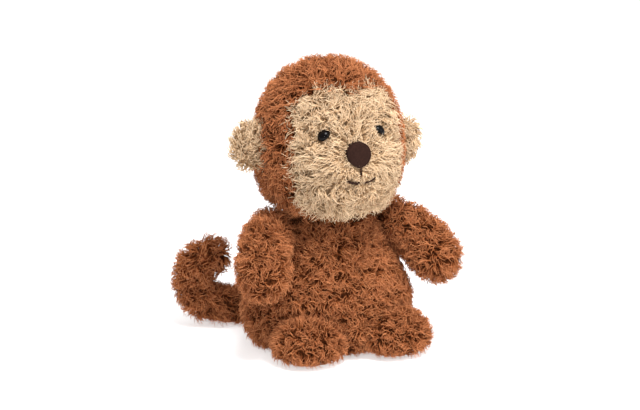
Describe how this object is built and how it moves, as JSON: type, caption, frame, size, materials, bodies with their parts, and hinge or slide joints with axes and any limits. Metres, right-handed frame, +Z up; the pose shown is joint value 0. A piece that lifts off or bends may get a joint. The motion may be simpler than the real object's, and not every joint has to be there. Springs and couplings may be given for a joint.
{
  "type": "stuffed monkey",
  "caption": "Seated plush monkey with a round head, cream face and ears, stubby arms and legs and a curled tail, in wavy brown pile over soft stuffing.",
  "frame": {"origin": "on the floor, at the middle of the flat underside of the torso", "axes": "+Z up, -Y the way the face looks, +X the toy's own left"},
  "size_m": [0.149, 0.1339, 0.1785],
  "materials": {
    "brown_pile": "wavy brown pile fabric",
    "cream_pile": "wavy cream pile fabric",
    "stuffing": "white polyester fibre",
    "pouch_cloth": "plain woven cloth, filled with pellets",
    "eye_black": "polished black plastic",
    "washer_plastic": "plain moulded plastic",
    "nose_cloth": "dark brown finely ribbed cloth",
    "dark_thread": "dark brown embroidery thread"
  },
  "bodies": {
    "torso": {"torso_front_panel": "brown_pile", "torso_back_panel": "brown_pile", "torso_base_panel": "brown_pile", "torso_stuffing": "stuffing", "pellet_pouch": "pouch_cloth"},
    "neck": {"neck_wad": "stuffing"},
    "head": {"face_panel": "cream_pile", "left_hood_panel": "brown_pile", "right_hood_panel": "brown_pile", "head_stuffing": "stuffing", "nose": "nose_cloth", "left_eye": "eye_black", "right_eye": "eye_black", "left_eye_washer": "washer_plastic", "right_eye_washer": "washer_plastic", "philtrum_stitch": "dark_thread", "left_mouth_stitch": "dark_thread", "right_mouth_stitch": "dark_thread"},
    "left_ear": {"left_ear_front_panel": "cream_pile", "left_ear_back_panel": "cream_pile"},
    "right_ear": {"right_ear_front_panel": "cream_pile", "right_ear_back_panel": "cream_pile"},
    "left_shoulder": {"left_shoulder_wad": "stuffing"},
    "left_arm": {"left_arm_cover": "brown_pile", "left_arm_stuffing": "stuffing"},
    "right_shoulder": {"right_shoulder_wad": "stuffing"},
    "right_arm": {"right_arm_cover": "brown_pile", "right_arm_stuffing": "stuffing"},
    "left_leg": {"left_leg_cover": "brown_pile", "left_leg_stuffing": "stuffing"},
    "right_leg": {"right_leg_cover": "brown_pile", "right_leg_stuffing": "stuffing"},
    "tail_root": {"tail_wad": "stuffing"},
    "tail": {"tail_cover": "brown_pile", "tail_stuffing": "stuffing"}
  },
  "joints": [
    {"name": "neck_turn", "type": "hinge", "parent": "torso", "child": "neck", "pos_m": [0, 0, 0.0885], "axis": [0, 0, 1], "range_deg": [-35, 35], "stiffness_Nm_per_rad": 0.3},
    {"name": "head_nod", "type": "hinge", "parent": "neck", "child": "head", "pos_m": [0, 0, 0.0885], "axis": [1, 0, 0], "range_deg": [-7, 7], "stiffness_Nm_per_rad": 1.5},
    {"name": "left_ear_fold", "type": "hinge", "parent": "head", "child": "left_ear", "pos_m": [0.0425, 0.003, 0.1255], "axis": [0, 0, 1], "range_deg": [-20, 20], "stiffness_Nm_per_rad": 0.02},
    {"name": "left_shoulder_swing", "type": "hinge", "parent": "torso", "child": "left_shoulder", "pos_m": [0.0385, -0.004, 0.076], "axis": [-1, 0, 0], "range_deg": [-10, 40], "stiffness_Nm_per_rad": 0.08},
    {"name": "left_arm_raise", "type": "hinge", "parent": "left_shoulder", "child": "left_arm", "pos_m": [0.0385, -0.004, 0.076], "axis": [0, -1, 0], "range_deg": [-4, 35], "stiffness_Nm_per_rad": 0.08},
    {"name": "left_leg_lift", "type": "hinge", "parent": "torso", "child": "left_leg", "pos_m": [0.025, -0.026, 0.0145], "axis": [-1, 0, 0], "range_deg": [0, 15], "stiffness_Nm_per_rad": 0.15},
    {"name": "right_ear_fold", "type": "hinge", "parent": "head", "child": "right_ear", "pos_m": [-0.0425, 0.003, 0.1305], "axis": [0, 0, -1], "range_deg": [-20, 20], "stiffness_Nm_per_rad": 0.02},
    {"name": "right_shoulder_swing", "type": "hinge", "parent": "torso", "child": "right_shoulder", "pos_m": [-0.0385, -0.004, 0.076], "axis": [-1, 0, 0], "range_deg": [-10, 40], "stiffness_Nm_per_rad": 0.08},
    {"name": "right_arm_raise", "type": "hinge", "parent": "right_shoulder", "child": "right_arm", "pos_m": [-0.0385, -0.004, 0.076], "axis": [0, 1, 0], "range_deg": [-4, 35], "stiffness_Nm_per_rad": 0.08},
    {"name": "right_leg_lift", "type": "hinge", "parent": "torso", "child": "right_leg", "pos_m": [-0.025, -0.026, 0.0145], "axis": [-1, 0, 0], "range_deg": [0, 15], "stiffness_Nm_per_rad": 0.15},
    {"name": "tail_swing", "type": "hinge", "parent": "torso", "child": "tail_root", "pos_m": [0, 0.045, 0.011], "axis": [0, 0, -1], "range_deg": [0, 45], "stiffness_Nm_per_rad": 0.05},
    {"name": "tail_lift", "type": "hinge", "parent": "tail_root", "child": "tail", "pos_m": [0, 0.045, 0.011], "axis": [0.3712, 0.9285, 0], "range_deg": [0, 20], "stiffness_Nm_per_rad": 0.05}
  ]
}
